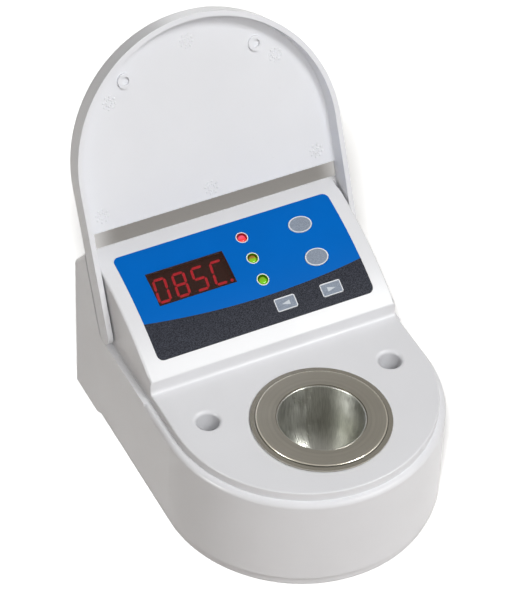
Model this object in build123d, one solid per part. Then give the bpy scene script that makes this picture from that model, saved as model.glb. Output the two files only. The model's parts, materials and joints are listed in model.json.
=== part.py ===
from build123d import *
import math
import os

os.makedirs("parts", exist_ok=True)

# Dental lab wax heater. Millimetres, +X to the right, +Y to the rear, +Z up.
# The origin is where the upright axis of the round front meets the underside of the bottom cover.
# The lid is built shut and then turned back to where it stands open.

# ---- Case: sizes seen from outside
case_radius = 55.0          # radius of the round front, and half the width of the straight sides
case_rear = 87.0            # rear wall, from the axis of the round front
case_wall = 2.2
skirt_height = 4.0          # lower edge of the wall round the front
step_inset = 21.3           # rear wall to where the case comes down to the table
step_length = 6.3           # how far the slanted step in its lower edge runs
deck_height = 47.6
deck_round = 0.6
ledge_drop = 3.9            # deck to the ledge that the lid's rim comes down on
ledge_width = 2.8
ledge_round = 1.8
nose_y = 22.5               # upright front of the control housing
nose_rise = 5.6             # its height above the deck
nose_round = 0.9
nose_foot = 1.5             # hollow round where that front meets the deck
slope_rise = 21.3           # from the nose to the highest edge
slope_radius = 116.0        # the sloped panel is domed to this radius
ridge_inset = 9.2           # highest edge to the rear wall
ridge_drop = 11.2           # highest edge to the top of the rear wall
corner_round = 2.4

# ---- Lid
lid_height = 9.25
lid_wall = 2.1
lid_plate = 2.0
lid_plate_gap = 2.0         # rear edge of the shut lid's plate, in front of the nose
lid_round = 1.4
lid_open_angle = 114.0
lid_seat_gap = 0.15         # rim above the ledge
lid_stop_gap = 0.35         # arm in front of its stop
lid_boss_inset = 10.5       # from the lid's outside
lid_boss_turn = 52.0        # degrees from the side towards the front
lid_boss_radius = 3.0
lid_boss_hole = 1.6
lid_boss_height = 1.2
hinge_inset = 18.6          # hinge axis in front of the highest edge
hinge_pin_radius = 2.0
hinge_pin_seat = 1.4        # how deep the pin sits in the arm
hinge_boss_radius = 4.5
hinge_boss_length = 4.0
clip_radius = 3.6
clip_thickness = 0.6
clip_gap = 0.25
pin_tail = 0.8
running_gap = 0.05

# ---- Bottom cover, feet and case screws
cover_inset = 0.9
cover_floor = 2.4
cover_rim = 3.0
cover_tongue = 2.0
fit_gap = 0.2
foot_radius = 5.0
foot_depth = 0.8
foot_proud = 0.8
front_foot_inset = 8.1      # from the round outside
front_foot_turn = 50.0
rear_foot_inset = 15.0      # from the side
rear_foot_rear = 21.0       # from the rear wall
case_screw_radius = 1.5
case_screw_head = 2.8
case_screw_head_height = 1.8
case_screw_length = 12.0
case_boss_radius = 3.8
case_boss_gap = 0.1
cover_pad_height = 5.5
cover_pad_radius = 5.0
front_screw_inset = 8.5
front_screw_turn = 28.0
rear_screw_inset = 10.0
rear_screw_rear = 8.4
vent_count = 7
vent_width = 1.6
vent_length = 22.0
vent_pitch = 4.2
vent_y = 20.0

# ---- Wax pot and what holds and heats it
pot_front = 38.5            # pot's axis from the front of the case
pot_mouth_radius = 16.4
pot_wall = 0.8
pot_clearance = 17.5        # under the pot, down to the underside of the bottom cover
pot_bottom_round = 11.0
pot_floor = 1.6
pot_flange_width = 5.4
pot_flange_thickness = 0.6
pot_rim_drop = 0.15         # pot's rim below the face of the trim ring
ring_ledge = 2.0            # width of the trim ring's low edge
ring_flange = 0.7
ring_margin = 0.6           # raised face of the trim ring outside the circle of its studs
ring_face_height = 1.65     # face of the trim ring above the deck
ring_face_thickness = 0.55
ring_bore_gap = 0.05
ring_round = 0.45
gasket_thickness = 0.4
gasket_overlap = 1.0        # under the pot's flange
gasket_inset = 0.4
stud_radius = 1.2
stud_gap = 0.4              # to the pot's flange
stud_count = 3
clamp_margin = 5.3          # clamp plate outside the circle of the studs
clamp_thickness = 1.5
nut_width = 5.0
nut_height = 2.0
band_thickness = 1.6
band_drop = 6.6             # top of the heater band below the deck
band_height = 17.0
band_split = 4.0
band_ear = 5.0
band_screw_radius = 1.0
sleeve_thickness = 2.6
sleeve_slot = 14.0
pot_layer_gap = 0.1
shield_inset = 1.6          # from the edge of the clamp plate
shield_wall = 0.6
shield_clearance = 10.0     # under the pot
shield_slot = 16.0
sensor_radius = 2.0
sensor_height = 6.0
fuse_radius = 1.8
fuse_length = 10.0
fuse_offset = 5.5
sensor_clip_thickness = 0.6

# ---- Tool rests in the deck
tool_inset = 16.4           # from the side of the case
tool_offset = 17.7          # behind the pot's axis
tool_radius = 4.4
tool_mouth_radius = 5.9
tool_depth = 28.0
tool_tube_wall = 1.5

# ---- Front panel, measured along the slope from the panel's lower edge
panel_start = 6.9           # lower edge of the panel, from the nose along the slope
panel_top_margin = 6.8
panel_side_margin = 6.2
panel_corner = 2.6
panel_recess = 0.4
panel_proud = 0.1
window_across = -0.454      # places on the panel are shares of its half width and of its height
window_up = 0.602
window_width = 32.4
window_height = 14.3
window_gap = 0.1
filter_thickness = 1.5
led_across = 0.117
led_up = {"heat_led": 0.82, "unit_led": 0.606, "set_led": 0.396}
led_radius = 1.9
led_sink = 0.35             # lamp below the face of its bezel
led_ring_width = 0.65
led_base_radius = 2.4
led_base_height = 1.5
oval_across = 0.641
oval_up = {"upper_oval_key": 0.773, "lower_oval_key": 0.441}
oval_width = 9.6
oval_height = 7.3
arrow_up = 0.141
arrow_across = {"left_arrow_key": 0.22, "right_arrow_key": 0.646}
arrow_width = 8.7
arrow_height = 5.2
arrow_corner = 0.7
key_gap = 0.15
key_proud = 0.3
key_travel = 0.4
key_flange = 0.8
key_flange_thickness = 0.8
key_stem_radius = 1.4
switch_gap = 0.1

# ---- Display
digit_height = 9.4
digit_width = 4.6
digit_pitch = 8.0
digit_lean = 6.0
digit_offset = -11.9        # first digit from the window's centre
digit_drop = -0.2
segment_width = 0.95
segment_gap = 0.18
segment_thickness = 0.2
dot_radius = 0.6
segment_map = {"0": "abcdef", "8": "abcdefg", "5": "acdfg", "C": "adef"}
display_text = "085C"
module_margin = 0.6
module_gap = 0.3

# ---- Control board behind the panel
board_depth = 10.2          # face of the board below the panel's middle
board_thickness = 1.6
board_side_gap = 4.0        # to the side walls
board_end_margin = 1.1      # inside the panel's outline
board_post_radius = 2.8
board_post_inset = 3.0      # from the board's edges
small_screw_radius = 1.1
small_screw_head = 2.1
small_screw_head_height = 1.2
small_screw_grip = 4.5
tact_size = 6.0
tact_body_height = 3.5
tact_button_radius = 1.6
tact_button_height = 1.0
chip_size = 10.0
chip_height = 1.4
connector_width = 16.0
connector_depth = 5.0
connector_height = 6.0

# ---- Power board on the bottom cover
power_half_width = 28.0
power_length = 38.0
power_rear_gap = 15.0       # to the rear wall
power_z = 9.0
power_post_radius = 3.0
power_post_inset = 3.5
capacitor_radius = 5.0
capacitor_height = 16.0
terminal_width = 15.0
terminal_depth = 8.0
terminal_height = 9.0
heatsink_width = 16.0
heatsink_depth = 10.0
heatsink_height = 18.0
heatsink_fins = 5
heatsink_slot = 1.6
heatsink_web = 3.0

# ---- Rear wall: supply socket and rocker switch
jack_x = 26.0
jack_z = 22.0
jack_thread_radius = 4.0
jack_flange_radius = 5.6
jack_flange = 1.6
jack_body_radius = 4.9
jack_body_length = 12.0
jack_bore = 3.1
jack_bore_depth = 9.0
jack_pin_radius = 1.0
jack_nut_width = 11.0
jack_nut_height = 2.0
rocker_x = -24.0
rocker_z = 24.0
rocker_bezel_width = 15.0
rocker_bezel_height = 21.0
rocker_bezel = 1.6
rocker_body_width = 13.0
rocker_body_height = 19.2
rocker_body_depth = 12.0
rocker_width = 9.4
rocker_reach = 8.2
rocker_lift = 2.6
rocker_waist = 1.2
rocker_heel = 5.0
rocker_heel_reach = 3.6
rocker_pin_radius = 1.2
rocker_pin_length = 1.0
rocker_cavity_gap = 0.3
rocker_angle = 9.0

# ---- Wires inside the case
lead_radius = 0.8
lead_spacing = 2.2
lead_slope = 4.0            # length over which a lead changes level
lead_hole = 3.5             # hole for the sensor's wires in the bottom of the heat shield
signal_lead_count = 4

# ---- Places worked out from the sizes above
ledge_height = deck_height - ledge_drop
nose_height = deck_height + nose_rise
ridge_height = nose_height + slope_rise
ridge_y = case_rear - ridge_inset
rear_height = ridge_height - ridge_drop
step_end = case_rear - step_inset
step_start = step_end - step_length
inner_half_width = case_radius - ledge_width          # sides of the control housing and of the deck
lid_plate_end = nose_y - lid_plate_gap
hinge_y = ridge_y - hinge_inset
pot_y = pot_front - case_radius
pot_flange_radius = pot_mouth_radius + pot_wall + pot_flange_width
stud_circle = pot_flange_radius + stud_gap + stud_radius
ring_face_radius = stud_circle + ring_margin
ring_radius = ring_face_radius + ring_ledge
gasket_bore = pot_flange_radius - gasket_overlap
clamp_radius = stud_circle + clamp_margin
shield_radius = clamp_radius - shield_inset
tool_x = case_radius - tool_inset
tool_y = pot_y + tool_offset
band_top = deck_height - band_drop
band_bottom = band_top - band_height
power_rear = case_rear - power_rear_gap
power_front = power_rear - power_length
lid_bottom = ledge_height + lid_seat_gap
lid_top = lid_bottom + lid_height
arm_end_radius = lid_height / 2
hinge_z = lid_bottom + arm_end_radius
arm_inner = case_radius - lid_wall
chord = math.hypot(ridge_y - nose_y, ridge_height - nose_height)
chord_angle = math.atan2(ridge_height - nose_height, ridge_y - nose_y)
half_chord_angle = math.asin(chord / 2 / slope_radius)
centre_drop = slope_radius * math.cos(half_chord_angle)
slope_centre_y = (nose_y + ridge_y) / 2 + centre_drop * math.sin(chord_angle)
slope_centre_z = (nose_height + ridge_height) / 2 - centre_drop * math.cos(chord_angle)
slope_start_angle = math.pi / 2 + chord_angle + half_chord_angle
slope_length = 2 * half_chord_angle * slope_radius
panel_length = slope_length - panel_start - panel_top_margin
panel_half_width = inner_half_width - panel_side_margin
panel_middle_angle = slope_start_angle - (panel_start + panel_length / 2) / slope_radius
window_x = window_across * panel_half_width
window_s = window_up * panel_length
led_x = led_across * panel_half_width
led_s = {name: up * panel_length for name, up in led_up.items()}
board_half_width = inner_half_width - case_wall - board_side_gap
board_half_height = panel_length / 2 - board_end_margin
panel_plane = Plane(
    origin=(
        0,
        slope_centre_y + slope_radius * math.cos(panel_middle_angle),
        slope_centre_z + slope_radius * math.sin(panel_middle_angle),
    ),
    x_dir=(1, 0, 0),
    z_dir=(0, math.cos(panel_middle_angle), math.sin(panel_middle_angle)),
)


def along(s):
    """Height on the flat panel plane of a point s along the slope from the panel's lower edge."""
    return slope_radius * math.sin((s - panel_length / 2) / slope_radius)


def surface(v, depth=0.0):
    """Level of the domed slope, or of a surface under it, at height v on the panel plane."""
    return math.sqrt((slope_radius - depth) ** 2 - v**2) - slope_radius


# ---- Shapes that several pieces share
def d_prism(radius, rear, low, high):
    """A block with a round front and straight sides."""
    outline = ThreePointArc((-radius, 0), (0, -radius), (radius, 0))
    sides = Polyline((radius, 0), (radius, rear), (-radius, rear), (-radius, 0))
    return extrude(Plane.XY.offset(low) * make_face(outline + sides), high - low)


def side_prism(face, half_width):
    """A side view drawn as (y, z), made as wide as the given half width to each side."""
    return extrude(Plane.YZ * face, half_width, both=True)


def upright(x, y, low, high, radius):
    return Pos(x, y, low) * Cylinder(radius, high - low, align=(Align.CENTER, Align.CENTER, Align.MIN))


def tube(x, y, low, high, outer, inner):
    return upright(x, y, low, high, outer) - upright(x, y, low - 1, high + 1, inner)


def block(x0, x1, y0, y1, z0, z1):
    return Pos((x0 + x1) / 2, (y0 + y1) / 2, (z0 + z1) / 2) * Box(x1 - x0, y1 - y0, z1 - z0)


def both_sides(shape):
    return shape + shape.mirror(Plane.YZ)


def on_front(inset, turn):
    """A place inside the round front, turned from the side towards the front."""
    reach, angle = case_radius - inset, math.radians(turn)
    return reach * math.cos(angle), -reach * math.sin(angle)


def edges_at(shape, **place):
    """Edges whose middle lies on the given coordinates, such as y=3."""
    def matches(edge):
        middle = edge.position_at(0.5)
        return all(abs(getattr(middle, name.upper()) - value) < 1e-3 for name, value in place.items())
    return [edge for edge in shape.edges() if matches(edge)]


def edges_on_circle(shape, z):
    """Round edges at the given height."""
    return [edge for edge in shape.edges() if abs(edge.position_at(0.3).Z - z) < 1e-3]


def on_panel(sketch, x, s, low, high):
    """A pillar square to the panel plane, between two levels below its middle."""
    place = panel_plane * Pos(x, along(s), low)
    return extrude(place * sketch, high - low)


def slope_shell(depth_low, depth_high):
    """Everything between two depths under the domed slope."""
    def disc(depth):
        centre = Plane(origin=(0, slope_centre_y, slope_centre_z), x_dir=(0, 1, 0), z_dir=(1, 0, 0))
        return extrude(centre * Circle(slope_radius - depth), case_radius, both=True)
    return disc(depth_high) - disc(depth_low)


def screw(x, y, seat, up, radius, head, head_height, length):
    """A screw whose head lies against seat and whose shank goes up (1) or down (-1)."""
    low, high = sorted((seat, seat + up * length))
    head_low, head_high = sorted((seat, seat - up * head_height))
    shape = upright(x, y, low, high, radius) + upright(x, y, head_low, head_high, head)
    shape = fillet(edges_on_circle(shape, seat - up * head_height), head_height / 3)
    face = Pos(x, y, seat - up * head_height)
    arm, slot = head * 1.2, head / 4
    return shape - face * Box(arm, slot, head_height) - face * Box(slot, arm, head_height)


# ---- Side views of the case
def slope_point(s, depth=0.0):
    angle = slope_start_angle - s / slope_radius
    reach = slope_radius - depth
    return (slope_centre_y + reach * math.cos(angle), slope_centre_z + reach * math.sin(angle))


def housing_face(low):
    """Side view of the control housing, down to the given level."""
    slope = ThreePointArc((nose_y, nose_height), slope_point(slope_length / 2), (ridge_y, ridge_height))
    rest = Polyline(
        (ridge_y, ridge_height),
        (case_rear, rear_height),
        (case_rear, low),
        (nose_y, low),
        (nose_y, nose_height),
    )
    return make_face(slope + rest)


def arm_pocket_face():
    """Side view of the space that an arm of the lid sweeps, up to its stop."""
    turn = math.radians(lid_open_angle)
    reach = arm_end_radius + lid_stop_gap
    stop_y = hinge_y + reach * math.sin(turn)
    stop_z = hinge_z + reach * math.cos(turn)
    far = 2 * case_rear
    sweep = Polygon(
        (-far, ledge_height),
        (hinge_y, ledge_height),
        (stop_y, stop_z),
        (stop_y - far * math.cos(turn), stop_z + far * math.sin(turn)),
        (-far, far),
        align=None,
    )
    end = Pos(hinge_y, hinge_z) * Circle(reach)
    floor = Pos(0, ledge_height - far / 2) * Rectangle(2 * far, far)
    return sweep + (end - floor)


def foot_face():
    """Side view of the rear of the case, where its wall comes down to the table."""
    return Polygon(
        (nose_y, skirt_height),
        (step_start, skirt_height),
        (step_end, 0),
        (case_rear, 0),
        (case_rear, rear_height),
        (ridge_y, ridge_height),
        (nose_y, ridge_height),
        align=None,
    )


# ---- Case
def make_main_housing():
    lower = d_prism(case_radius, step_end, skirt_height, ledge_height)
    lower = fillet(lower.edges().group_by(Axis.Z)[-1], ledge_round)
    plateau = d_prism(inner_half_width, hinge_y, skirt_height, deck_height)
    plateau = fillet(plateau.edges().group_by(Axis.Z)[-1], deck_round)

    rear_face = (housing_face(0) & foot_face()) - arm_pocket_face()
    rear = side_prism(rear_face, case_radius)
    rear = fillet(rear.edges().filter_by(Axis.Z).group_by(Axis.Y)[-1], corner_round)
    rear = fillet(edges_at(rear, x=0, y=case_rear, z=rear_height), corner_round)
    control = side_prism(housing_face(ledge_height - case_wall) - foot_trim(), inner_half_width)
    control = fillet(slope_edges(control), nose_round)
    outside = lower + plateau + control + rear
    outside = fillet(edges_at(outside, x=0, y=nose_y, z=deck_height), nose_foot)

    inside = d_prism(case_radius - case_wall, nose_y + case_wall, -1, ledge_height - case_wall)
    inside += d_prism(inner_half_width - case_wall, nose_y + case_wall, 0, deck_height - case_wall)
    hollow = offset(housing_face(-2 * case_wall), -case_wall, kind=Kind.INTERSECTION)
    inside += side_prism(hollow, inner_half_width - case_wall)
    low_rear = block(
        -case_radius + case_wall,
        case_radius - case_wall,
        nose_y,
        case_rear - case_wall,
        -1,
        ledge_height - case_wall,
    )
    housing = outside - (inside + low_rear)
    return finish_housing(housing, outside)


def foot_trim():
    """The part of the control housing's side view behind the rear block's rounded corner."""
    return Pos(case_rear, 0) * Rectangle(2 * corner_round, 4 * case_rear)


def slope_edges(shape):
    """The nose, and the two long edges of the slope."""
    nose = edges_at(shape, x=0, y=nose_y, z=nose_height)
    middle_y, middle_z = slope_point(slope_length / 2)
    return nose + edges_at(shape, y=middle_y, z=middle_z)


def finish_housing(housing, outside):
    """Adds bosses, posts and tool rests, and cuts every opening."""
    for x, y in case_screw_places():
        boss = upright(x, y, cover_pad_height + case_boss_gap, ridge_height, case_boss_radius)
        bore = upright(x, y, 0, cover_pad_height + case_screw_length, case_screw_radius)
        housing = (housing + (boss & outside)) - bore
    for side in (-1, 1):
        housing += tool_rest(side)
        housing += hinge_boss(side)
        housing -= tool_bore(side)
        housing -= hinge_bore(side)
    for x, v in board_post_places():
        housing += panel_post(x, v)
        housing -= panel_post_bore(x, v)
    deck_low = deck_height - case_wall
    housing -= upright(0, pot_y, deck_low - 1, deck_height + 1, gasket_bore)
    for x, y in stud_places():
        housing -= upright(x, y, deck_low - 1, deck_height + 1, stud_radius + fit_gap)
    housing -= panel_sheet(panel_recess, -case_wall, 0)
    housing -= panel_cutouts(0)
    return housing - jack_hole() - rocker_hole()


def case_screw_places():
    front = on_front(front_screw_inset, front_screw_turn)
    rear = (case_radius - rear_screw_inset, case_rear - rear_screw_rear)
    return [(side * x, y) for side in (-1, 1) for x, y in (front, rear)]


def tool_rest(side):
    low = deck_height - tool_depth - tool_tube_wall
    return upright(side * tool_x, tool_y, low, deck_height - case_wall / 2, tool_radius + tool_tube_wall)


def tool_bore(side):
    mouth = tool_mouth_radius - tool_radius
    flare = upright(side * tool_x, tool_y, deck_height - mouth, deck_height, tool_mouth_radius)
    flare -= Pos(side * tool_x, tool_y, deck_height - mouth) * Torus(tool_mouth_radius, mouth)
    return upright(side * tool_x, tool_y, deck_height - tool_depth, deck_height + 1, tool_radius) + flare


def sideways(x0, x1, radius):
    """A cylinder on the hinge's axis between two distances from the middle."""
    middle = Plane(origin=((x0 + x1) / 2, hinge_y, hinge_z), x_dir=(0, 1, 0), z_dir=(1, 0, 0))
    return middle * Cylinder(radius, abs(x1 - x0))


def hinge_boss(side):
    inner = inner_half_width - case_wall
    return sideways(side * (inner - hinge_boss_length), side * (inner + case_wall / 2), hinge_boss_radius)


def hinge_bore(side):
    inner = inner_half_width - case_wall
    low, high = inner - hinge_boss_length - 1, inner_half_width + 1
    return sideways(side * low, side * high, hinge_pin_radius + running_gap)


def stud_places():
    turns = [math.radians(90 + 360 * i / stud_count) for i in range(stud_count)]
    return [(stud_circle * math.cos(t), pot_y + stud_circle * math.sin(t)) for t in turns]


def board_post_places():
    x, v = board_half_width - board_post_inset, board_half_height - board_post_inset
    return [(side * x, end * v) for side in (-1, 1) for end in (-1, 1)]


def panel_post(x, v):
    top = surface(v, case_wall / 2)
    return extrude(panel_plane * Pos(x, v, -board_depth) * Circle(board_post_radius), top + board_depth)


def panel_post_bore(x, v):
    return extrude(panel_plane * Pos(x, v, -board_depth) * Circle(small_screw_radius), small_screw_grip)


def panel_outline(grow):
    width = 2 * (panel_half_width + grow)
    low, high = along(0) - grow, along(panel_length) + grow
    return Pos(0, (low + high) / 2) * RectangleRounded(width, high - low, panel_corner + grow)


def panel_sheet(depth_low, depth_high, grow):
    """A sheet of the panel's outline that follows the domed slope."""
    pillar = extrude(panel_plane * Pos(0, 0, -board_depth) * panel_outline(grow), 2 * board_depth)
    return pillar & slope_shell(depth_low, depth_high)


def oval(grow):
    return Ellipse(oval_width / 2 + grow, oval_height / 2 + grow)


def arrow_plate(grow):
    return RectangleRounded(arrow_width + 2 * grow, arrow_height + 2 * grow, arrow_corner + grow)


def key_places():
    """Each key: its name, place and the outline of its cap for a given growth."""
    places = []
    for name, up in oval_up.items():
        places.append((name, oval_across * panel_half_width, up * panel_length, oval))
    for name, across in arrow_across.items():
        places.append((name, across * panel_half_width, arrow_up * panel_length, arrow_plate))
    return places


def panel_cutouts(tighter):
    """Openings for the window, the lamps and the keys, made smaller by the given amount."""
    low, high = -board_depth / 2, board_depth / 2
    window = Rectangle(window_width + 2 * (window_gap - tighter), window_height + 2 * (window_gap - tighter))
    cuts = on_panel(window, window_x, window_s, low, high)
    for s in led_s.values():
        cuts += on_panel(Circle(led_radius + led_ring_width - tighter), led_x, s, low, high)
    for name, x, s, outline in key_places():
        cuts += on_panel(outline(key_gap - tighter), x, s, low, high)
    return cuts


def rear_plane(x, z):
    """A plane on the outside of the rear wall, looking out."""
    return Plane(origin=(x, case_rear, z), x_dir=(-1, 0, 0), z_dir=(0, 1, 0))


def rear_pillar(sketch, x, z, low, high):
    return extrude(rear_plane(x, z) * Pos(0, 0, low) * sketch, high - low)


def jack_hole():
    return rear_pillar(Circle(jack_thread_radius + fit_gap), jack_x, jack_z, -case_wall - 1, 1)


def rocker_hole():
    width, height = rocker_body_width + 2 * fit_gap, rocker_body_height + 2 * fit_gap
    return rear_pillar(Rectangle(width, height), rocker_x, rocker_z, -case_wall - 1, 1)


def make_bottom_cover():
    rim_outer = case_radius - cover_inset
    inner = case_radius - case_wall - fit_gap
    rear = case_rear - case_wall - fit_gap
    wide_face = Polygon(
        (-case_rear, 0),
        (step_end - fit_gap, 0),
        (step_start - fit_gap, skirt_height),
        (-case_rear, skirt_height),
        align=None,
    )
    cover = d_prism(rim_outer, step_end, 0, skirt_height) & side_prism(wide_face, case_radius)
    cover += d_prism(inner, rear, 0, skirt_height + cover_tongue)
    cover -= d_prism(inner - cover_rim, rear - cover_rim, cover_floor, skirt_height + cover_tongue + 1)
    for x, y in case_screw_places():
        cover += upright(x, y, 0, cover_pad_height, cover_pad_radius) & d_prism(inner, rear, 0, cover_pad_height)
        cover -= upright(x, y, cover_pad_height, case_wall + case_screw_length, case_boss_radius + fit_gap)
    for x, y in power_post_places():
        cover += upright(x, y, 0, power_z, power_post_radius)
        cover -= upright(x, y, power_z - small_screw_grip, power_z + 1, small_screw_radius)
    for x, y in case_screw_places():
        cover -= upright(x, y, -1, cover_pad_height + 1, case_screw_radius + fit_gap)
        cover -= upright(x, y, -1, case_screw_head_height + 2 * fit_gap, case_screw_head + fit_gap)
    for x, y in foot_places():
        cover -= upright(x, y, -1, foot_depth, foot_radius)
    first = -(vent_count - 1) / 2
    for i in range(vent_count):
        x = (first + i) * vent_pitch
        cover -= Pos(x, vent_y, cover_floor / 2) * extrude(SlotOverall(vent_length, vent_width, rotation=90), 9, both=True)
    return cover


def foot_places():
    front = on_front(front_foot_inset, front_foot_turn)
    rear = (case_radius - rear_foot_inset, case_rear - rear_foot_rear)
    return [(side * x, y) for side in (-1, 1) for x, y in (front, rear)]


def make_rubber_feet():
    feet = []
    for x, y in foot_places():
        foot = upright(x, y, -foot_proud, foot_depth, foot_radius)
        feet.append(fillet(foot.edges().group_by(Axis.Z)[0], foot_proud / 2))
    return Compound(feet)


def make_case_screws():
    seat = case_screw_head_height + 2 * fit_gap
    size = (case_screw_radius, case_screw_head, case_screw_head_height, case_screw_length)
    return Compound([screw(x, y, seat, 1, *size) for x, y in case_screw_places()])


# ---- Lid, built shut
def open_lid(shape):
    """Turns a piece of the lid from shut to where it stands open."""
    return shape.rotate(Axis((0, hinge_y, hinge_z), (1, 0, 0)), -lid_open_angle)


def make_lid():
    outer = d_prism(case_radius, hinge_y + arm_end_radius, lid_bottom, lid_top)
    outer = fillet(outer.edges().group_by(Axis.Z)[-1].filter_by(lambda e: e.position_at(0.5).Y < hinge_y), lid_round)
    ends = Pos(-case_rear + hinge_y, hinge_z) * Rectangle(2 * case_rear, lid_height) + Pos(hinge_y, hinge_z) * Circle(
        arm_end_radius
    )
    outer = outer & side_prism(ends, case_radius)
    tray = d_prism(arm_inner, case_rear, lid_bottom - 1, lid_top - lid_plate)
    tray = fillet(tray.edges().group_by(Axis.Z)[-1].filter_by(lambda e: e.position_at(0.5).Y < hinge_y), lid_round / 2)
    behind_plate = block(-arm_inner, arm_inner, lid_plate_end, case_rear, lid_bottom - 1, lid_top + 1)
    lid = outer - tray - behind_plate
    plate_low = lid_top - lid_plate
    boss_x, boss_y = on_front(lid_boss_inset, lid_boss_turn)
    for side in (-1, 1):
        lid += tube(side * boss_x, boss_y, plate_low - lid_boss_height, plate_low, lid_boss_radius, lid_boss_hole)
        lid -= sideways(side * (arm_inner - 1), side * (arm_inner + hinge_pin_seat), hinge_pin_radius)
    return open_lid(lid)


def clip_place():
    """Distance of the clip's outer face from the middle of the case."""
    return inner_half_width - case_wall - hinge_boss_length - clip_gap


def make_hinge_pins():
    low = clip_place() - clip_thickness - pin_tail
    pins = [sideways(side * low, side * (arm_inner + hinge_pin_seat), hinge_pin_radius) for side in (-1, 1)]
    return open_lid(Compound(pins))


def make_hinge_clips():
    clips = []
    for side in (-1, 1):
        low, high = side * (clip_place() - clip_thickness), side * clip_place()
        clips.append(sideways(low, high, clip_radius) - sideways(low - side, high + side, hinge_pin_radius))
    return open_lid(Compound(clips))


# ---- Front panel
def make_panel_overlay():
    return panel_sheet(panel_recess, -panel_proud, -fit_gap / 2) - panel_cutouts(0)


def make_display_filter():
    sketch = Rectangle(window_width, window_height)
    pillar = on_panel(sketch, window_x, window_s, -board_depth / 2, board_depth / 2)
    return pillar & slope_shell(filter_thickness, -panel_proud)


def module_face():
    """Level of the face of the display module."""
    edge = along(window_s) + window_height / 2
    return surface(edge, filter_thickness) - module_gap


def make_display_module():
    sketch = Rectangle(window_width - 2 * module_margin, window_height - 2 * module_margin)
    return on_panel(sketch, window_x, window_s, -board_depth, module_face() - segment_thickness)


def segment_outlines():
    """Centre, length and turn of each of the seven segments of one digit."""
    half_w, half_h = digit_width / 2, digit_height / 2
    long, short = half_h - 2 * segment_gap, digit_width - 2 * segment_gap
    return {
        "a": (0, half_h, short, 0),
        "g": (0, 0, short, 0),
        "d": (0, -half_h, short, 0),
        "f": (-half_w, half_h / 2, long, 90),
        "b": (half_w, half_h / 2, long, 90),
        "e": (-half_w, -half_h / 2, long, 90),
        "c": (half_w, -half_h / 2, long, 90),
    }


def segment(x, v, length, turn, lean):
    """A segment with pointed ends, leaning with its digit."""
    tip, side = length / 2, segment_width / 2
    points = ((-tip, 0), (side - tip, -side), (tip - side, -side), (tip, 0), (tip - side, side), (side - tip, side))
    cosine, sine = math.cos(math.radians(turn)), math.sin(math.radians(turn))
    placed = [(x + a * cosine - b * sine, v + a * sine + b * cosine) for a, b in points]
    return Polygon(*[(px + lean * py, py) for px, py in placed], align=None)


def make_lit_segments():
    lean = math.tan(math.radians(digit_lean))
    outlines = segment_outlines()
    face = module_face() - segment_thickness
    centre = panel_plane * Pos(window_x, along(window_s) + digit_drop, face)
    lit = []
    for i, glyph in enumerate(display_text):
        x = digit_offset + i * digit_pitch
        for name in segment_map[glyph]:
            shape = segment(*outlines[name], lean)
            lit.append(extrude(centre * Pos(x, 0) * shape, segment_thickness))
    last = digit_offset + (len(display_text) - 1) * digit_pitch
    dot_x = last + digit_width / 2 + 3 * dot_radius - lean * digit_height / 2
    lit.append(extrude(centre * Pos(dot_x, -digit_height / 2) * Circle(dot_radius), segment_thickness))
    return Compound(lit)


def make_led(s):
    v = along(s)
    top = surface(abs(v) + led_radius) - led_sink
    lens = extrude(panel_plane * Pos(led_x, v, -board_depth) * Circle(led_radius), top + board_depth)
    lens = fillet(top_edges(lens, top), led_radius / 2)
    base = extrude(panel_plane * Pos(led_x, v, -board_depth) * Circle(led_base_radius), led_base_height)
    return lens + base


def top_edges(shape, level):
    """Edges of a pillar on the panel plane that lie at the given level."""
    return [e for e in shape.edges() if abs(panel_plane.to_local_coords(e.position_at(0.25)).Z - level) < 1e-3]


def make_led_rings():
    rings = []
    for s in led_s.values():
        sketch = Circle(led_radius + led_ring_width - window_gap) - Circle(led_radius + running_gap)
        rings.append(on_panel(sketch, led_x, s, -board_depth / 2, board_depth / 2) & slope_shell(case_wall, -panel_proud))
    return Compound(rings)


def tact_top():
    return -board_depth + tact_body_height + tact_button_height


def make_key(x, s, outline, reach_v):
    """A key: domed cap, retaining flange behind the wall and stem above its switch."""
    v = along(s)
    cap = on_panel(outline(0), x, s, -board_depth, board_depth / 2) & slope_shell(board_depth, -key_proud)
    flange_top = surface(abs(v) + reach_v, case_wall) - fit_gap
    flange_low = flange_top - key_flange_thickness
    below = extrude(panel_plane * Pos(x, v, -2 * board_depth) * Rectangle(4 * oval_width, 4 * oval_width), flange_low + 2 * board_depth)
    cap -= below
    flange = extrude(panel_plane * Pos(x, v, flange_low) * outline(key_flange), key_flange_thickness)
    stem_low = tact_top() + key_travel + switch_gap
    stem = extrude(panel_plane * Pos(x, v, stem_low) * Circle(key_stem_radius), flange_top - stem_low)
    return cap + flange + stem


def make_tact_switches():
    switches = []
    for name, x, s, outline in key_places():
        place = panel_plane * Pos(x, along(s), -board_depth)
        body = extrude(place * Rectangle(tact_size, tact_size), tact_body_height)
        button = extrude(place * Pos(0, 0, tact_body_height) * Circle(tact_button_radius), tact_button_height)
        switches.append(body + button)
    return Compound(switches)


# ---- Control board
def make_control_board():
    sketch = Rectangle(2 * board_half_width, 2 * board_half_height)
    for x, v in board_post_places():
        sketch -= Pos(x, v) * Circle(small_screw_radius + fit_gap)
    return extrude(panel_plane * Pos(0, 0, -board_depth - board_thickness) * sketch, board_thickness)


def make_control_board_screws():
    screws = []
    low = -board_depth - board_thickness
    for x, v in board_post_places():
        place = panel_plane * Pos(x, v, low)
        shank = extrude(place * Circle(small_screw_radius), board_thickness + small_screw_grip - fit_gap)
        head = extrude(place * Circle(small_screw_head), -small_screw_head_height)
        screws.append(shank + head)
    return Compound(screws)


def under_board(x, v, width, depth, height):
    place = panel_plane * Pos(x, v, -board_depth - board_thickness)
    return extrude(place * Rectangle(width, depth), -height)


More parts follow.
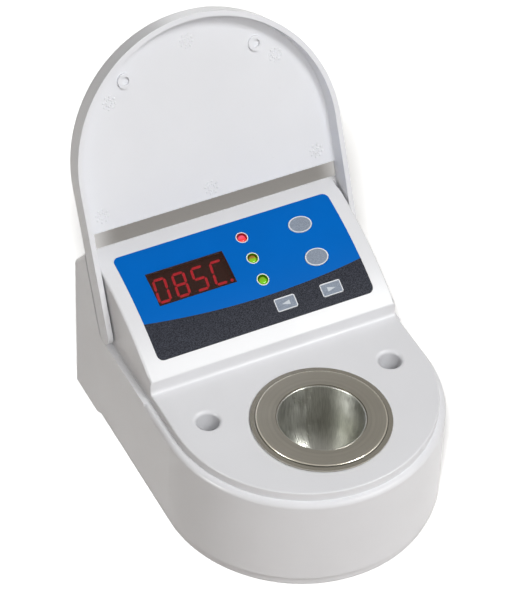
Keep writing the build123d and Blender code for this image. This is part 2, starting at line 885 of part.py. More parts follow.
def make_control_chip():
    return under_board(0, 0, chip_size, chip_size, chip_height)


def connector_place():
    return board_half_height - 2 * connector_depth


def make_board_connector():
    return under_board(0, connector_place(), connector_width, connector_depth, connector_height)


# ---- Wax pot
def pot_rim():
    return deck_height + ring_face_height - pot_rim_drop


def pot_seat():
    return deck_height + gasket_thickness


def make_wax_pot():
    rim, seat = pot_rim(), pot_seat()
    pot = upright(0, pot_y, pot_clearance, rim, pot_mouth_radius + pot_wall)
    pot = fillet(pot.edges().group_by(Axis.Z)[0], pot_bottom_round + pot_floor / 2)
    bowl = upright(0, pot_y, pot_clearance + pot_floor, rim + 1, pot_mouth_radius)
    bowl = fillet(bowl.edges().group_by(Axis.Z)[0], pot_bottom_round)
    pot -= bowl
    pot = fillet(pot.edges().group_by(Axis.Z)[-1], pot_wall * 0.45)
    middle_radius = pot_mouth_radius + pot_wall / 2
    return pot + tube(0, pot_y, seat, seat + pot_flange_thickness, pot_flange_radius, middle_radius)


def make_pot_trim_ring():
    seat = pot_seat()
    face = deck_height + ring_face_height
    ring = upright(0, pot_y, seat, face, ring_face_radius)
    ring = fillet(ring.edges().group_by(Axis.Z)[-1], ring_round)
    ring += upright(0, pot_y, seat, deck_height + gasket_thickness + ring_flange, ring_radius)
    ring -= upright(0, pot_y, seat - 1, face - ring_face_thickness, pot_flange_radius + fit_gap)
    ring -= upright(0, pot_y, seat - 1, face + 1, pot_mouth_radius + pot_wall + ring_bore_gap)
    low = deck_height - case_wall - clamp_thickness - nut_height - 1
    for x, y in stud_places():
        ring += upright(x, y, low, seat + ring_flange / 2, stud_radius)
    return ring


def make_pot_gasket():
    gasket = tube(0, pot_y, deck_height, pot_seat(), ring_radius - gasket_inset, gasket_bore)
    for x, y in stud_places():
        gasket -= upright(x, y, 0, deck_height + 1, stud_radius)
    return gasket


def make_pot_clamp_plate():
    high = deck_height - case_wall
    low = high - clamp_thickness
    plate = tube(0, pot_y, low, high, clamp_radius, pot_mouth_radius + pot_wall + band_thickness + sleeve_thickness)
    for x, y in stud_places():
        plate -= upright(x, y, 0, high + 1, stud_radius + running_gap)
    return plate


def make_clamp_nuts():
    low = deck_height - case_wall - clamp_thickness - nut_height
    nuts = []
    for x, y in stud_places():
        blank = extrude(Plane.XY.offset(low) * Pos(x, y) * RegularPolygon(nut_width / 2, 6, major_radius=False), nut_height)
        nuts.append(blank - upright(x, y, 0, deck_height, stud_radius))
    return Compound(nuts)


def rear_gap(width, radius, low, high):
    """A slot at the rear of the pot's layers."""
    return block(-width / 2, width / 2, pot_y, pot_y + 2 * radius, low - 1, high + 1)


def band_radius():
    return pot_mouth_radius + pot_wall + pot_layer_gap / 2


def make_heater_band():
    inner = band_radius()
    outer = inner + band_thickness
    band = tube(0, pot_y, band_bottom, band_top, outer, inner) - rear_gap(band_split, outer, band_bottom, band_top)
    for side in (-1, 1):
        x0, x1 = sorted((side * band_split / 2, side * (band_split / 2 + band_thickness)))
        low, high = (band_bottom + band_top) / 2 - band_ear, (band_bottom + band_top) / 2 + band_ear
        band += block(x0, x1, pot_y + inner, pot_y + outer + band_ear, low, high)
    return band - band_screw(band_screw_radius)


def band_screw(radius):
    y = pot_y + band_radius() + band_thickness + band_ear / 2
    reach = band_split / 2 + band_thickness + 1
    middle = Plane(origin=(0, y, (band_bottom + band_top) / 2), x_dir=(0, 1, 0), z_dir=(1, 0, 0))
    return middle * Cylinder(radius, 2 * reach)


def make_band_screw():
    y = pot_y + band_radius() + band_thickness + band_ear / 2
    face = band_split / 2 + band_thickness
    middle = Plane(origin=(0, y, (band_bottom + band_top) / 2), x_dir=(0, 1, 0), z_dir=(1, 0, 0))
    ends = [middle * Pos(0, 0, side * (face + 0.5)) * Cylinder(2 * band_screw_radius, 1) for side in (-1, 1)]
    return band_screw(band_screw_radius) + ends[0] + ends[1]


def sleeve_radius():
    return band_radius() + band_thickness + pot_layer_gap


def make_insulation_sleeve():
    inner = sleeve_radius()
    outer = inner + sleeve_thickness
    sleeve = tube(0, pot_y, band_bottom, band_top, outer, inner)
    return sleeve - rear_gap(sleeve_slot, outer, band_bottom, band_top)


def shield_bottom():
    return pot_clearance - shield_clearance


def make_heat_shield():
    low, high = shield_bottom(), deck_height - case_wall - clamp_thickness
    shield = tube(0, pot_y, low, high, shield_radius, shield_radius - shield_wall)
    shield += tube(0, pot_y, low, low + shield_wall, shield_radius, lead_hole)
    return shield - rear_gap(shield_slot, shield_radius, band_bottom - band_ear, high)


def make_temperature_sensor():
    return upright(0, pot_y, pot_clearance - sensor_height, pot_clearance, sensor_radius)


def make_thermal_fuse():
    centre = Plane(origin=(0, pot_y + fuse_offset, pot_clearance - fuse_radius), x_dir=(0, 1, 0), z_dir=(1, 0, 0))
    return centre * Cylinder(fuse_radius, fuse_length)


def make_sensor_clip():
    """A strap under the sensor and the fuse that presses both to the pot."""
    high = pot_clearance
    low = pot_clearance - 2 * fuse_radius - sensor_clip_thickness
    front, rear = pot_y - fuse_offset, pot_y + fuse_offset + fuse_radius
    strap = block(-sensor_radius - 1, sensor_radius + 1, front, rear, low, low + sensor_clip_thickness)
    foot = block(-sensor_radius - 1, sensor_radius + 1, front, front + sensor_clip_thickness, low, high)
    return strap + foot - upright(0, pot_y, 0, high, sensor_radius)


# ---- Power board
def power_post_places():
    xs = (-power_half_width + power_post_inset, power_half_width - power_post_inset)
    ys = (power_front + power_post_inset, power_rear - power_post_inset)
    return [(x, y) for x in xs for y in ys]


def make_power_board():
    board = block(-power_half_width, power_half_width, power_front, power_rear, power_z, power_z + board_thickness)
    for x, y in power_post_places():
        board -= upright(x, y, 0, power_z + board_thickness + 1, small_screw_radius + fit_gap)
    return board


def make_power_board_screws():
    seat = power_z + board_thickness
    length = board_thickness + small_screw_grip - fit_gap
    size = (small_screw_radius, small_screw_head, small_screw_head_height, length)
    return Compound([screw(x, y, seat, -1, *size) for x, y in power_post_places()])


def on_power_board(x, y, width, depth, height):
    low = power_z + board_thickness
    return block(x - width / 2, x + width / 2, y - depth / 2, y + depth / 2, low, low + height)


def make_board_capacitor():
    low = power_z + board_thickness
    can = upright(-power_half_width / 2, power_rear - 3 * power_post_inset, low, low + capacitor_height, capacitor_radius)
    return fillet(can.edges().group_by(Axis.Z)[-1], capacitor_radius / 8)


def terminal_place():
    return 0, power_front + terminal_depth / 2 + 1


def make_terminal_block():
    x, y = terminal_place()
    return on_power_board(x, y, terminal_width, terminal_depth, terminal_height)


def make_mosfet_heatsink():
    x, y = power_half_width / 2, power_rear - 3 * power_post_inset
    sink = on_power_board(x, y, heatsink_width, heatsink_depth, heatsink_height)
    low = power_z + board_thickness
    pitch = heatsink_width / heatsink_fins
    for i in range(heatsink_fins - 1):
        slot_x = x - heatsink_width / 2 + (i + 1) * pitch
        sink -= block(
            slot_x - heatsink_slot / 2,
            slot_x + heatsink_slot / 2,
            y - heatsink_depth / 2 + heatsink_web,
            y + heatsink_depth,
            low - 1,
            low + heatsink_height + 1,
        )
    return sink


# ---- Rear wall
def make_dc_jack():
    jack = rear_pillar(Circle(jack_flange_radius), jack_x, jack_z, 0, jack_flange)
    jack = fillet(jack.edges().group_by(Axis.Y)[-1], jack_flange / 3)
    jack += rear_pillar(Circle(jack_thread_radius), jack_x, jack_z, -jack_body_length, jack_flange / 2)
    jack -= rear_pillar(Circle(jack_bore), jack_x, jack_z, jack_flange - jack_bore_depth, jack_flange + 1)
    return jack + rear_pillar(Circle(jack_pin_radius), jack_x, jack_z, -jack_bore_depth, 0)


def make_jack_nut():
    outline = RegularPolygon(jack_nut_width / 2, 6, major_radius=False) - Circle(jack_thread_radius)
    return rear_pillar(outline, jack_x, jack_z, -case_wall - jack_nut_height, -case_wall)


def rocker_cavity():
    height = 2 * (rocker_tip() + rocker_cavity_gap)
    width = rocker_width + 2 * rocker_cavity_gap
    return rear_pillar(Rectangle(width, height), rocker_x, rocker_z, -rocker_heel - 1, rocker_bezel + 1)


def rocker_tip():
    return math.hypot(rocker_reach, rocker_lift)


def rocker_axle(radius, reach):
    middle = Plane(origin=(rocker_x, case_rear, rocker_z), x_dir=(0, 1, 0), z_dir=(1, 0, 0))
    return middle * Cylinder(radius, 2 * reach)


def make_switch_body():
    body = rear_pillar(Rectangle(rocker_bezel_width, rocker_bezel_height), rocker_x, rocker_z, 0, rocker_bezel)
    body = fillet(body.edges().group_by(Axis.Y)[-1], rocker_bezel / 3)
    body += rear_pillar(Rectangle(rocker_body_width, rocker_body_height), rocker_x, rocker_z, -rocker_body_depth, 0)
    body -= rocker_cavity()
    return body - rocker_axle(rocker_pin_radius + running_gap, rocker_width / 2 + rocker_pin_length + running_gap)


def make_switch_rocker():
    outline = Polygon(
        (rocker_lift, rocker_reach),
        (rocker_waist, 0),
        (rocker_lift, -rocker_reach),
        (-rocker_waist, -rocker_reach),
        (-rocker_heel, -rocker_heel_reach),
        (-rocker_heel, rocker_heel_reach),
        (-rocker_waist, rocker_reach),
        align=None,
    )
    plane = Plane(origin=(rocker_x, case_rear, rocker_z), x_dir=(0, 1, 0), z_dir=(1, 0, 0))
    paddle = extrude(plane * outline, rocker_width / 2, both=True)
    paddle += rocker_axle(rocker_pin_radius, rocker_width / 2 + rocker_pin_length)
    return paddle.rotate(Axis((0, case_rear, rocker_z), (1, 0, 0)), rocker_angle)


# ---- Wires
def wire(points, radii):
    path = FilletPolyline(*points, radius=radii)
    return sweep(Plane(origin=path @ 0, z_dir=path % 0) * Circle(lead_radius), path=path)


def make_heater_leads():
    """Two wires from the ears of the heater band to the terminal block."""
    front = terminal_place()[1] - terminal_depth / 2
    start = pot_y + band_radius() + band_thickness + band_ear
    high = (band_bottom + band_top) / 2 - band_ear / 2
    low = power_z + board_thickness + terminal_height - 2 * lead_radius
    middle = (start + front) / 2
    leads = []
    for side in (-1, 1):
        x = side * (band_split + band_thickness) / 2
        points = (
            (x, start, high),
            (x, middle - lead_slope / 2, high),
            (x, middle + lead_slope / 2, low),
            (x, front, low),
        )
        leads.append(wire(points, 3 * lead_radius))
    return Compound(leads)


def make_sensor_leads():
    """Two wires from the sensor, out under the heat shield and up to the power board's edge."""
    high = pot_clearance - sensor_height
    low = (shield_bottom() + cover_floor) / 2
    edge = power_z + board_thickness / 2
    leads = []
    for side in (-1, 1):
        x = side * lead_spacing / 2
        points = (
            (x, pot_y, high),
            (x, pot_y, low),
            (x, power_front - 2 * lead_slope, low),
            (x, power_front - lead_slope, edge),
            (x, power_front, edge),
        )
        leads.append(wire(points, 2 * lead_radius))
    return Compound(leads)


def make_power_leads():
    """Two wires each from the supply socket and from the switch down to the power board."""
    y = power_rear - 3.5 * power_post_inset
    leads = []
    for x, z, depth in ((jack_x, jack_z, jack_body_length), (rocker_x, rocker_z, rocker_body_depth)):
        for side in (-1, 1):
            wire_x = x + side * lead_spacing / 2
            points = ((wire_x, case_rear - depth, z), (wire_x, y, z), (wire_x, y, power_z + board_thickness))
            leads.append(wire(points, 4 * lead_radius))
    return Compound(leads)


def make_signal_leads():
    """Wires from the control board's connector down to the power board."""
    level = -board_depth - board_thickness - connector_height
    leads = []
    for i in range(signal_lead_count):
        x = (i - (signal_lead_count - 1) / 2) * lead_spacing
        start = panel_plane.from_local_coords(Vector(x, connector_place(), level))
        bend = panel_plane.from_local_coords(Vector(x, connector_place(), level - 6 * lead_radius))
        end = Vector(x, bend.Y, power_z + board_thickness)
        leads.append(wire((start, bend, end), 3 * lead_radius))
    return Compound(leads)


# ---- All pieces
pieces = {
    "main_housing": make_main_housing(),
    "bottom_cover": make_bottom_cover(),
    "rubber_feet": make_rubber_feet(),
    "case_screws": make_case_screws(),
    "lid": make_lid(),
    "hinge_pins": make_hinge_pins(),
    "hinge_clips": make_hinge_clips(),
    "panel_overlay": make_panel_overlay(),
    "display_filter": make_display_filter(),
    "display_module": make_display_module(),
    "lit_segments": make_lit_segments(),
    "led_rings": make_led_rings(),
    "tact_switches": make_tact_switches(),
    "control_board": make_control_board(),
    "control_board_screws": make_control_board_screws(),
    "control_chip": make_control_chip(),
    "board_connector": make_board_connector(),
    "wax_pot": make_wax_pot(),
    "pot_trim_ring": make_pot_trim_ring(),
    "pot_gasket": make_pot_gasket(),
    "pot_clamp_plate": make_pot_clamp_plate(),
    "clamp_nuts": make_clamp_nuts(),
    "heater_band": make_heater_band(),
    "band_screw": make_band_screw(),
    "insulation_sleeve": make_insulation_sleeve(),
    "heat_shield": make_heat_shield(),
    "temperature_sensor": make_temperature_sensor(),
    "thermal_fuse": make_thermal_fuse(),
    "sensor_clip": make_sensor_clip(),
    "power_board": make_power_board(),
    "power_board_screws": make_power_board_screws(),
    "board_capacitor": make_board_capacitor(),
    "terminal_block": make_terminal_block(),
    "mosfet_heatsink": make_mosfet_heatsink(),
    "dc_jack": make_dc_jack(),
    "jack_nut": make_jack_nut(),
    "switch_body": make_switch_body(),
    "switch_rocker": make_switch_rocker(),
    "heater_leads": make_heater_leads(),
    "sensor_leads": make_sensor_leads(),
    "power_leads": make_power_leads(),
    "signal_leads": make_signal_leads(),
}
for name, s in led_s.items():
    pieces[name] = make_led(s)
for name, x, s, outline in key_places():
    half = oval_height / 2 if name in oval_up else arrow_height / 2
    pieces[name] = make_key(x, s, outline, half + key_flange)

for name, shape in pieces.items():
    export_step(shape, f"parts/{name}.step")
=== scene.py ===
"""Dental lab wax heater: finishes, printed panel, lit readout, stage and camera."""

import json
import math

import bmesh
import bpy
from bpy.props import FloatProperty, FloatVectorProperty, PointerProperty
from mathutils import Matrix, Vector


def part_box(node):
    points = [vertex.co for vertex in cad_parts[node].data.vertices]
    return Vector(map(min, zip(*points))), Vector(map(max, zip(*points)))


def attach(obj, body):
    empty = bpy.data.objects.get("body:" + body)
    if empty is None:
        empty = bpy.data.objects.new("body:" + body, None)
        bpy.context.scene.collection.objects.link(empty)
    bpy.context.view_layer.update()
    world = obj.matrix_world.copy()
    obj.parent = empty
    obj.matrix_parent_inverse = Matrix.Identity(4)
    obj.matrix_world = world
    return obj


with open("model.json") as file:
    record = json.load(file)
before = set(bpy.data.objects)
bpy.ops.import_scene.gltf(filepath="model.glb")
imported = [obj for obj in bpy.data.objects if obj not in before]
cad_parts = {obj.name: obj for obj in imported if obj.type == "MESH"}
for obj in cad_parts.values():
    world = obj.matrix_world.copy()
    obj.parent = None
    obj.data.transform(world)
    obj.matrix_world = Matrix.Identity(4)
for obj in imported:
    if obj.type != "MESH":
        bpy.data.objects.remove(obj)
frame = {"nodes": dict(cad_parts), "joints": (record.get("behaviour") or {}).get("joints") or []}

bl_info = {
    "name": "Dental lab wax heater",
    "version": (1, 0, 0),
    "blender": (4, 5, 0),
    "location": "View3D > Sidebar > Wax heater",
    "description": "Finishes the wax heater's case, lid, pot, panel and fittings",
    "category": "Object",
}

MM = 0.001
HINGE = next(j for j in frame["joints"] if j["name"] == "lid_hinge")
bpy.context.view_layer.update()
POT_Y = -16.5 * MM                  # the pot's upright axis
LID_PLATE_UNDERSIDE = 51.1 * MM     # its height with the lid shut

# On the panel, in millimetres: across from its middle, and up the slope from the film's lower edge
LAMP_ACROSS = 5.38
# The lamp's painted light: how far its colour is painted onto the white bezel
LAMP_LIGHT_REACH = 2.15                   # how far a lamp's colour reaches on its bezel
WINDOW_CENTRE = (-20.88, 27.83)
WINDOW_SIZE = (32.4, 14.3)
OVAL_SIZE = (9.6, 7.3)
ARROW_SIZE = (8.7, 5.2)


# ---- Sizes and colours that a user would change
def colour(name, description, value):
    return FloatVectorProperty(
        name=name, description=description, subtype="COLOR", size=3, min=0, max=1, default=value
    )


def length(name, description, value):
    return FloatProperty(
        name=name, description=description, default=value * MM, min=0, unit="LENGTH", precision=5
    )


class WaxHeaterColours(bpy.types.PropertyGroup):
    """Colours of the outside"""

    case: colour("Case", "Moulded case and bottom cover", (0.80, 0.80, 0.815))
    lid: colour("Lid", "Moulded lid", (0.80, 0.805, 0.825))
    film: colour("Panel film", "Upper part of the printed panel", (0.0, 0.135, 0.53))
    band: colour("Panel band", "Speckled lower part of the printed panel", (0.028, 0.030, 0.040))
    key: colour("Keys", "Caps of the four keys", (0.27, 0.31, 0.375))
    outline: colour("Outline", "Lines round the keys", (0.80, 0.82, 0.85))
    arrow: colour("Arrow", "Triangles on the arrow keys", (0.60, 0.64, 0.68))
    window: colour("Window", "Tinted window in front of the readout", (0.034, 0.009, 0.005))
    segment: colour("Lit segment", "Digits of the readout", (0.66, 0.012, 0.030))
    ring: colour("Trim ring", "Metal ring round the pot", (0.50, 0.475, 0.42))
    bowl: colour("Bowl", "Metal bowl", (0.66, 0.66, 0.62))


class WaxHeaterSizes(bpy.types.PropertyGroup):
    """Sizes of printed and moulded detail"""

    slope_radius: length("Slope radius", "Radius of the domed panel", 116.0)
    slope_y: length("Slope centre Y", "Where the panel's dome is centred, behind the origin", 90.46)
    slope_z: length("Slope centre Z", "Where the panel's dome is centred, below the origin", 40.81)
    film_edge: FloatProperty(
        name="Film edge",
        description="Angle of the film's lower edge round the centre of the panel's dome",
        default=2.13727,
        subtype="ANGLE",
    )
    band_height: length("Band height", "Height of the speckled band above the film's lower edge", 11.6)
    outline: length("Key outline", "Width of the white line round each key", 0.3)
    mark_radius: length("Mould mark", "Radius of an ejector mark inside the lid", 2.5)
    ring_face: length("Ring face", "Radius of the raised face of the trim ring", 24.8)
    pot_mouth: length("Pot mouth", "Radius of the bowl's mouth", 16.4)
    window_hides: FloatProperty(
        name="Window darkness",
        description="How much of the readout the window hides",
        default=0.5,
        min=0,
        max=1,
        subtype="FACTOR",
    )


class WaxHeaterSettings(bpy.types.PropertyGroup):
    """All settings of the wax heater"""

    colours: PointerProperty(type=WaxHeaterColours, name="Colours", description="Colours of the outside")
    sizes: PointerProperty(
        type=WaxHeaterSizes, name="Sizes", description="Sizes of printed and moulded detail"
    )


def settings():
    return bpy.context.scene.wax_heater


def times(hue, amount):
    """A colour made darker or brighter, up to white."""
    return tuple(min(1, c * amount) for c in hue)


# ---- Node trees
class Tree:
    """Places and joins nodes in one node tree."""

    def __init__(self, tree):
        self.nodes, self.links = tree.nodes, tree.links

    def add(self, kind, inputs=None, **options):
        node = self.nodes.new(kind)
        for name, value in options.items():
            setattr(node, name, value)
        for key, value in (inputs or {}).items():
            self.put(value, node.inputs[key])
        return node

    def put(self, value, socket):
        if isinstance(value, bpy.types.NodeSocket):
            self.links.new(value, socket)
        elif isinstance(value, tuple) and len(value) == 3 and socket.type == "RGBA":
            socket.default_value = (*value, 1)
        else:
            socket.default_value = value

    def math(self, operation, a, b=0.0, c=0.0):
        return self.add("ShaderNodeMath", {0: a, 1: b, 2: c}, operation=operation).outputs[0]

    def reach(self, u, v):
        """Distance of the point (u, v) from the origin."""
        squares = self.math("ADD", self.math("MULTIPLY", u, u), self.math("MULTIPLY", v, v))
        return self.math("SQRT", squares)

    def mix(self, mask, a, b):
        node = self.add("ShaderNodeMix", data_type="RGBA")
        for index, value in ((0, mask), (6, a), (7, b)):
            self.put(value, node.inputs[index])
        return node.outputs[2]

    def step(self, value, low, high):
        """0 at low, 1 at high, smooth between them and level beyond them."""
        inputs = {0: value, 1: low, 2: high}
        return self.add("ShaderNodeMapRange", inputs, interpolation_type="SMOOTHSTEP").outputs[0]

    def place(self):
        """Object coordinates, which are metres in the row frame."""
        return self.add("ShaderNodeTexCoord").outputs["Object"]

    def xyz(self):
        return self.add("ShaderNodeSeparateXYZ", {0: self.place()}).outputs

    def noise(self, scale, detail=2.0, **inputs):
        inputs.update(Vector=self.place(), Scale=scale, Detail=detail)
        return self.add("ShaderNodeTexNoise", inputs).outputs[0]

    def group(self, made, **inputs):
        node = self.add("ShaderNodeGroup", node_tree=made)
        for name, value in inputs.items():
            self.put(value, node.inputs[name.capitalize()])
        return node.outputs


def new_group(name, inputs, outputs):
    """A shader node group with named number inputs and outputs."""
    made = bpy.data.node_groups.new(name, "ShaderNodeTree")
    for label, value in inputs.items():
        socket = made.interface.new_socket(label, in_out="INPUT", socket_type="NodeSocketFloat")
        socket.default_value = value
    for label in outputs:
        made.interface.new_socket(label, in_out="OUTPUT", socket_type="NodeSocketFloat")
    tree = Tree(made)
    return made, tree, tree.add("NodeGroupInput").outputs, tree.add("NodeGroupOutput").inputs


def grain_group():
    """Fine moulded grain and slow unevenness of a plastic or rubber face."""
    inputs = {"Size": 0.2, "Depth": 0.3, "Unevenness": 0.5}
    made, t, given, out = new_group("Moulded grain", inputs, ["Height", "Mask"])
    fine = t.noise(t.math("DIVIDE", 1000.0, given["Size"]))
    slow = t.noise(24.0, detail=3.0)
    grain = t.math("MULTIPLY", fine, given["Depth"])
    waves = t.math("MULTIPLY", slow, given["Unevenness"])
    t.put(t.math("ADD", grain, waves), out[0])
    t.put(slow, out[1])
    return made


def handling_group():
    """Roughness that changes a little with handling, and faint dust in spots."""
    inputs = {"Roughness": 0.35, "Change": 0.1}
    made, t, given, out = new_group("Handling", inputs, ["Roughness", "Dust"])
    smear = t.noise(60.0, detail=5.0, Distortion=0.6)
    centred = t.math("SUBTRACT", smear, 0.5)
    t.put(t.math("MULTIPLY_ADD", centred, given["Change"], given["Roughness"]), out[0])
    t.put(t.step(t.noise(900.0, detail=1.0), 0.72, 0.78), out[1])
    return made


def streak_group():
    """Turning marks round the pot's upright axis, or brushing marks along it."""
    ring_scale, line_scale, upright_scale = 6000.0, 60.0, 90.0
    inputs = {"Round": 1.0, "Along": 0.0}
    made, t, given, out = new_group("Turned metal", inputs, ["Height", "Mask", "Radius"])
    x, y, z = t.xyz()
    y = t.math("SUBTRACT", y, POT_Y)
    radius = t.reach(x, y)
    rings = t.math("MULTIPLY", t.math("MULTIPLY", t.math("ADD", radius, z), ring_scale), given["Round"])
    lines = t.math("DIVIDE", t.math("MULTIPLY", given["Along"], line_scale), radius)
    parts = {
        0: t.math("MULTIPLY_ADD", x, lines, rings),
        1: t.math("MULTIPLY", y, lines),
        2: t.math("MULTIPLY", z, upright_scale),
    }
    vector = t.add("ShaderNodeCombineXYZ", parts).outputs[0]
    inputs = {"Vector": vector, "Scale": 1.0, "Detail": 3.0, "Roughness": 0.6}
    streaks = t.add("ShaderNodeTexNoise", inputs).outputs[0]
    t.put(streaks, out[0])
    t.put(t.step(streaks, 0.35, 0.65), out[1])
    t.put(radius, out[2])
    return made


def panel_group():
    """Place on the panel in millimetres: across from the middle, and up the slope from the film's edge."""
    size = settings().sizes
    made, t, _, out = new_group("Panel place", {}, ["Across", "Up"])
    x, y, z = t.xyz()
    angle = t.math("ARCTAN2", t.math("ADD", z, size.slope_z), t.math("SUBTRACT", y, size.slope_y))
    t.put(t.math("MULTIPLY", x, 1000.0), out[0])
    t.put(t.math("MULTIPLY", t.math("SUBTRACT", size.film_edge, angle), size.slope_radius * 1000), out[1])
    return made


GROUP_MAKERS = {
    "grain": grain_group, "handling": handling_group, "streak": streak_group, "panel": panel_group
}
GROUPS = {}


def shared(name):
    """The node group of that name, made once."""
    if name not in GROUPS:
        GROUPS[name] = GROUP_MAKERS[name]()
    return GROUPS[name]


# ---- Finishes
def start(name):
    """A material with its Principled shader, ready for links."""
    material = bpy.data.materials.new(name)
    material.use_nodes = True
    tree = Tree(material.node_tree)
    shader = next(n for n in tree.nodes if n.type == "BSDF_PRINCIPLED")
    return material, tree, shader


def bump(tree, shader, height, strength, distance):
    """Bump from a height mask; distance is in millimetres."""
    node = tree.add("ShaderNodeBump", {"Strength": strength, "Distance": distance * MM, "Height": height})
    tree.put(node.outputs[0], shader.inputs["Normal"])


def plastic(name, base, rough, grain=0.25, dust=0.05, prints=()):
    """Moulded plastic: fine grain, uneven gloss and a trace of dust.

    Each print is a function that gives a mask in a tree, and the colour that the mask shows.
    """
    material, t, shader = start(name)
    height, slow = t.group(shared("grain"), size=grain, depth=0.3, unevenness=0.6)[:2]
    roughness, spots = t.group(shared("handling"), roughness=rough, change=0.12)[:2]
    tint = t.mix(slow, times(base, 0.94), times(base, 1.05))
    dust_grey = 0.35
    dusty = tuple(c * (1 - dust) + dust_grey * dust for c in base)
    face = t.mix(spots, tint, dusty)
    for mask_of, hue in prints:
        face = t.mix(mask_of(t), face, hue)
    t.put(face, shader.inputs["Base Color"])
    t.put(roughness, shader.inputs["Roughness"])
    shader.inputs["Specular IOR Level"].default_value = 0.42
    bump(t, shader, height, strength=0.12, distance=0.02)
    return material


def metal(name, base, rough, rings=1.0, lines=0.0, depth=0.1, change=0.15, spun=0.0, bands=()):
    """Turned or brushed metal.

    Each band is (inner radius, outer radius, colour, roughness) round the pot's axis.
    """
    material, t, shader = start(name)
    height, mask, radius = t.group(shared("streak"), round=rings, along=lines)[:3]
    roughness = t.group(shared("handling"), roughness=rough, change=change)[0]
    uneven = t.math("SUBTRACT", mask, 0.5)
    roughness = t.math("MULTIPLY_ADD", uneven, 0.4 * lines * rough, roughness)
    tint = t.mix(mask, times(base, 0.88 - 0.12 * lines), base)
    soft = 0.05 * MM
    for inner, outer, hue, gloss in bands:
        outside_inner = t.step(radius, inner - soft, inner + soft)
        inside_outer = t.step(radius, outer + soft, outer - soft)
        shown = t.math("MULTIPLY", outside_inner, inside_outer)
        tint = t.mix(shown, tint, hue)
        roughness = t.add("ShaderNodeMix", {0: shown, 2: roughness, 3: gloss}, data_type="FLOAT").outputs[0]
    t.put(tint, shader.inputs["Base Color"])
    t.put(roughness, shader.inputs["Roughness"])
    shader.inputs["Metallic"].default_value = 1.0
    if spun:
        shader.inputs["Anisotropic"].default_value = spun
        shader.inputs["Anisotropic Rotation"].default_value = 0.25
        tangent = t.add("ShaderNodeTangent", direction_type="RADIAL", axis="Z").outputs[0]
        t.put(tangent, shader.inputs["Tangent"])
    bump(t, shader, height, strength=depth, distance=0.02)
    return material


def printed(name, rough, base_of):
    """A printed face of the panel. base_of(tree, across, up) gives its colour."""
    material, t, shader = start(name)
    across, up = t.group(shared("panel"))[:2]
    t.put(base_of(t, across, up), shader.inputs["Base Color"])
    roughness = t.group(shared("handling"), roughness=rough, change=0.12)[0]
    t.put(roughness, shader.inputs["Roughness"])
    shader.inputs["Specular IOR Level"].default_value = 0.05
    height = t.group(shared("grain"), size=0.12, depth=0.5, unevenness=0.3)[0]
    bump(t, shader, height, strength=0.15, distance=0.015)
    return material


def film_colour(t, across, up):
    """Blue above a slightly curved line, dark speckles below it."""
    colours, sizes = settings().colours, settings().sizes
    curve_middle, curve_rise = 3.7, 0.00163
    light = tuple(c * 1.9 + 0.01 for c in colours.band)
    band = t.mix(t.step(t.noise(3200.0), 0.38, 0.66), times(colours.band, 0.6), light)
    from_middle = t.math("SUBTRACT", across, curve_middle)
    curve = t.math("MULTIPLY", t.math("MULTIPLY", from_middle, from_middle), curve_rise)
    above = t.math("SUBTRACT", t.math("SUBTRACT", up, sizes.band_height * 1000), curve)
    blue = t.mix(t.noise(45.0), times(colours.film, 0.92), times(colours.film, 1.06))
    return t.mix(t.step(above, -0.06, 0.06), band, blue)


def inside_edge(t, across, up, centre, size, kind):
    """Distance in from the edge of an oval or a plate, and the offsets from its centre."""
    u = t.math("SUBTRACT", across, centre[0])
    v = t.math("SUBTRACT", up, centre[1])
    a = t.math("ABSOLUTE", t.math("DIVIDE", u, size[0] / 2))
    b = t.math("ABSOLUTE", t.math("DIVIDE", v, size[1] / 2))
    if kind == "oval":
        return t.math("MULTIPLY", t.math("SUBTRACT", 1.0, t.reach(a, b)), min(size) / 2), u, v
    from_side = t.math("MULTIPLY", t.math("SUBTRACT", 1.0, a), size[0] / 2)
    from_end = t.math("MULTIPLY", t.math("SUBTRACT", 1.0, b), size[1] / 2)
    return t.math("MINIMUM", from_side, from_end), u, v


def key_colour(centre, size, kind, pointing):
    """Grey cap with a white outline and, where pointing is -1 or 1, a triangle to the left or right."""
    half_triangle, tip_slant = 1.75, 0.27

    def base_of(t, across, up):
        colours, sizes = settings().colours, settings().sizes
        inside, u, v = inside_edge(t, across, up, centre, size, kind)
        width = sizes.outline * 1000
        speckle = t.step(t.noise(2400.0), 0.35, 0.65)
        grey = t.mix(speckle, times(colours.key, 0.86), times(colours.key, 1.14))
        face = t.mix(t.step(inside, width, width + 0.12), tuple(colours.outline), grey)
        if not pointing:
            return face
        ahead = t.math("MULTIPLY", u, float(pointing))
        slant = t.math("MULTIPLY", t.math("SUBTRACT", half_triangle, ahead), tip_slant)
        within = t.step(t.math("SUBTRACT", slant, t.math("ABSOLUTE", v)), -0.1, 0.1)
        past_base = t.step(ahead, -half_triangle - 0.05, -half_triangle + 0.15)
        return t.mix(t.math("MULTIPLY", within, past_base), face, tuple(colours.arrow))
    return base_of


def glowing(name, base, strength, rough):
    """Lit plastic whose brightness wavers a little."""
    material, t, shader = start(name)
    hue = t.mix(t.noise(700.0), times(base, 0.7), times(base, 1.3))
    t.put(hue, shader.inputs["Base Color"])
    t.put(hue, shader.inputs["Emission Color"])
    shader.inputs["Emission Strength"].default_value = strength
    shader.inputs["Roughness"].default_value = rough
    return material


